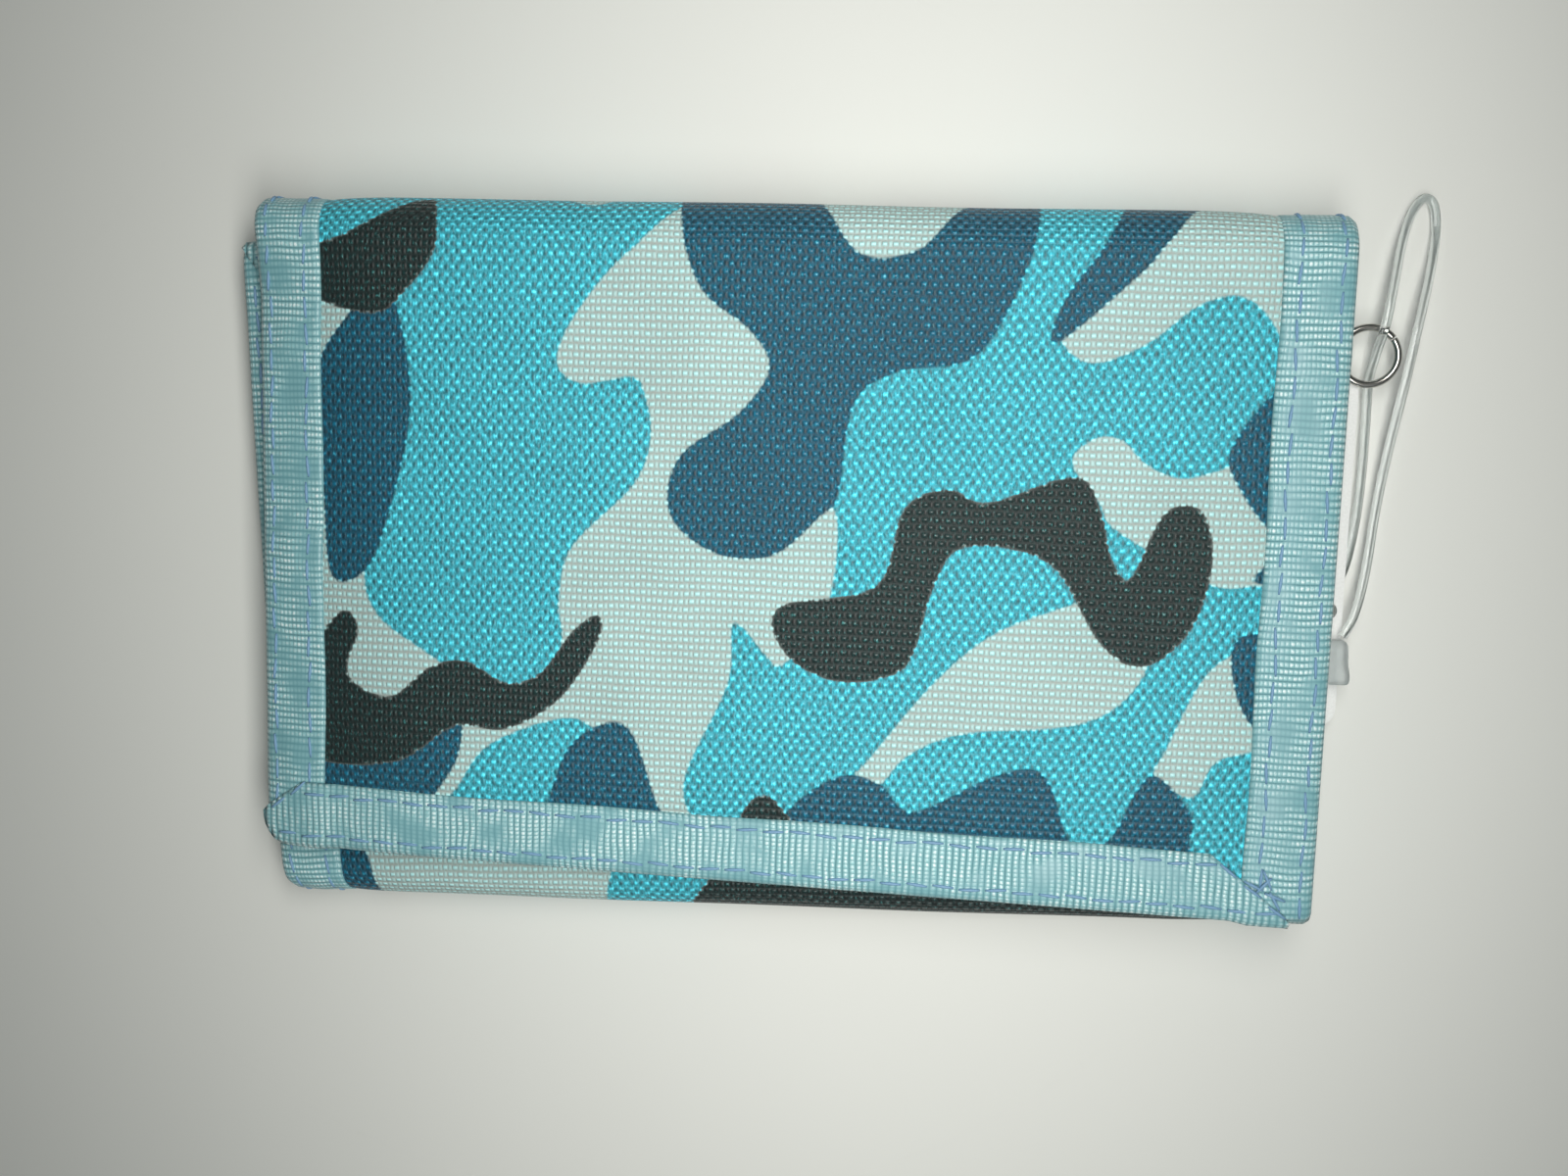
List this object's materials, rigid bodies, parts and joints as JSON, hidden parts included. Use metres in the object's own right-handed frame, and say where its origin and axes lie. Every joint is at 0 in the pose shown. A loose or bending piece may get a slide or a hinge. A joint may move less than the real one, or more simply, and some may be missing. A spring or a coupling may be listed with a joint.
{
  "type": "trifold wallet",
  "caption": "Closed trifold canvas wallet with tape-bound leaves, hook-and-loop flap, card pockets, zipped coin pocket, clear window and a key ring with a blank swing tag.",
  "frame": {"origin": "middle of the back leaf's outer face, on the surface that the closed wallet lies on", "axes": "+X along the folds to the wallet's right, where the key ring is; +Y to the top fold; +Z out of the front flap"},
  "size_m": [0.1466, 0.0927, 0.0148],
  "materials": {
    "camo_canvas": "woven polyester canvas, printed in pale grey, turquoise, navy and near-black blobs",
    "binding_tape": "ribbed polyester grosgrain tape with a satin shine",
    "lining": "thin matt polyester",
    "pocket_cloth": "thin matt polyester",
    "clear_sheet": "clear flexible sheet",
    "hook_and_loop": "hook or loop pile",
    "zip_tape": "knitted zip tape",
    "zip_teeth": "moulded coil",
    "nickel": "bright nickel plate",
    "tag_card": "blank white card",
    "clear_plastic": "clear polypropylene"
  },
  "bodies": {
    "back": {"back_shell": "camo_canvas", "back_lining": "lining", "back_binding_left": "binding_tape", "back_binding_right": "binding_tape", "card_pocket_1": "pocket_cloth", "card_pocket_2": "pocket_cloth", "card_pocket_3": "pocket_cloth", "ring_tab": "binding_tape", "hang_tag": "tag_card", "tag_lock": "clear_plastic", "tag_loop": "clear_plastic"},
    "top_spine": {"top_spine_shell": "camo_canvas", "top_spine_lining": "lining", "top_spine_binding_left": "binding_tape", "top_spine_binding_right": "binding_tape"},
    "flap": {"flap_shell": "camo_canvas", "flap_lining": "lining", "flap_binding_left": "binding_tape", "flap_binding_right": "binding_tape", "flap_binding_end": "binding_tape", "hook_patch": "hook_and_loop", "id_window": "clear_sheet", "id_window_frame": "binding_tape"},
    "bottom_spine": {"bottom_spine_shell": "camo_canvas", "bottom_spine_lining": "lining", "bottom_spine_binding_left": "binding_tape", "bottom_spine_binding_right": "binding_tape"},
    "inner": {"inner_shell": "camo_canvas", "inner_lining": "lining", "inner_binding_left": "binding_tape", "inner_binding_right": "binding_tape", "inner_binding_end": "binding_tape", "slip_pocket": "pocket_cloth", "coin_pocket_front": "camo_canvas", "coin_pocket_top_strip": "camo_canvas", "loop_patch": "hook_and_loop", "zip_teeth_lower": "zip_teeth", "zip_teeth_upper": "zip_teeth", "zip_tape_lower": "zip_tape", "zip_tape_upper": "zip_tape", "zip_stop_left": "nickel", "zip_stop_right": "nickel"},
    "zip_slider": {"zip_slider": "nickel"},
    "zip_pull": {"zip_pull": "nickel"},
    "key_ring": {"key_ring": "nickel"}
  },
  "joints": [
    {"name": "flap_fold", "type": "hinge", "parent": "top_spine", "child": "flap", "pos_m": [0, 0.04375, 0.0148], "axis": [-1, 0, 0], "range_deg": [0, 90], "deforming": ["flap_shell", "flap_lining", "flap_binding_left", "flap_binding_right", "flap_binding_end", "hook_patch", "id_window", "id_window_frame"]},
    {"name": "top_spine_turn", "type": "hinge", "parent": "back", "child": "top_spine", "pos_m": [0, 0.04375, 0], "axis": [-1, 0, 0], "range_deg": [0, 90]},
    {"name": "inner_fold", "type": "hinge", "parent": "bottom_spine", "child": "inner", "pos_m": [-0.0002, -0.04376, 0.0078], "axis": [0.9997, 0.0253, 0], "range_deg": [0, 86]},
    {"name": "bottom_spine_turn", "type": "hinge", "parent": "back", "child": "bottom_spine", "pos_m": [0, -0.04375, 0], "axis": [0.9997, 0.0253, 0], "range_deg": [0, 86]},
    {"name": "zip_slide", "type": "slide", "parent": "inner", "child": "zip_slider", "axis": [-0.9997, -0.0253, 0], "range_m": [0, 0.096]},
    {"name": "pull_flip", "type": "hinge", "parent": "zip_slider", "child": "zip_pull", "pos_m": [0.04777, 0.01748, 0.01095], "axis": [-0.0253, 0.9997, 0], "range_deg": [0, 160]},
    {"name": "ring_swing", "type": "hinge", "parent": "back", "child": "key_ring", "pos_m": [0.06603, 0.028, 0.0039], "axis": [0, -1, 0], "range_deg": [0, 75], "deforming": ["tag_loop"]}
  ],
  "couplings": [
    {"joint": "top_spine_turn", "follows": "flap_fold", "ratio": 1},
    {"joint": "bottom_spine_turn", "follows": "inner_fold", "ratio": 1}
  ]
}
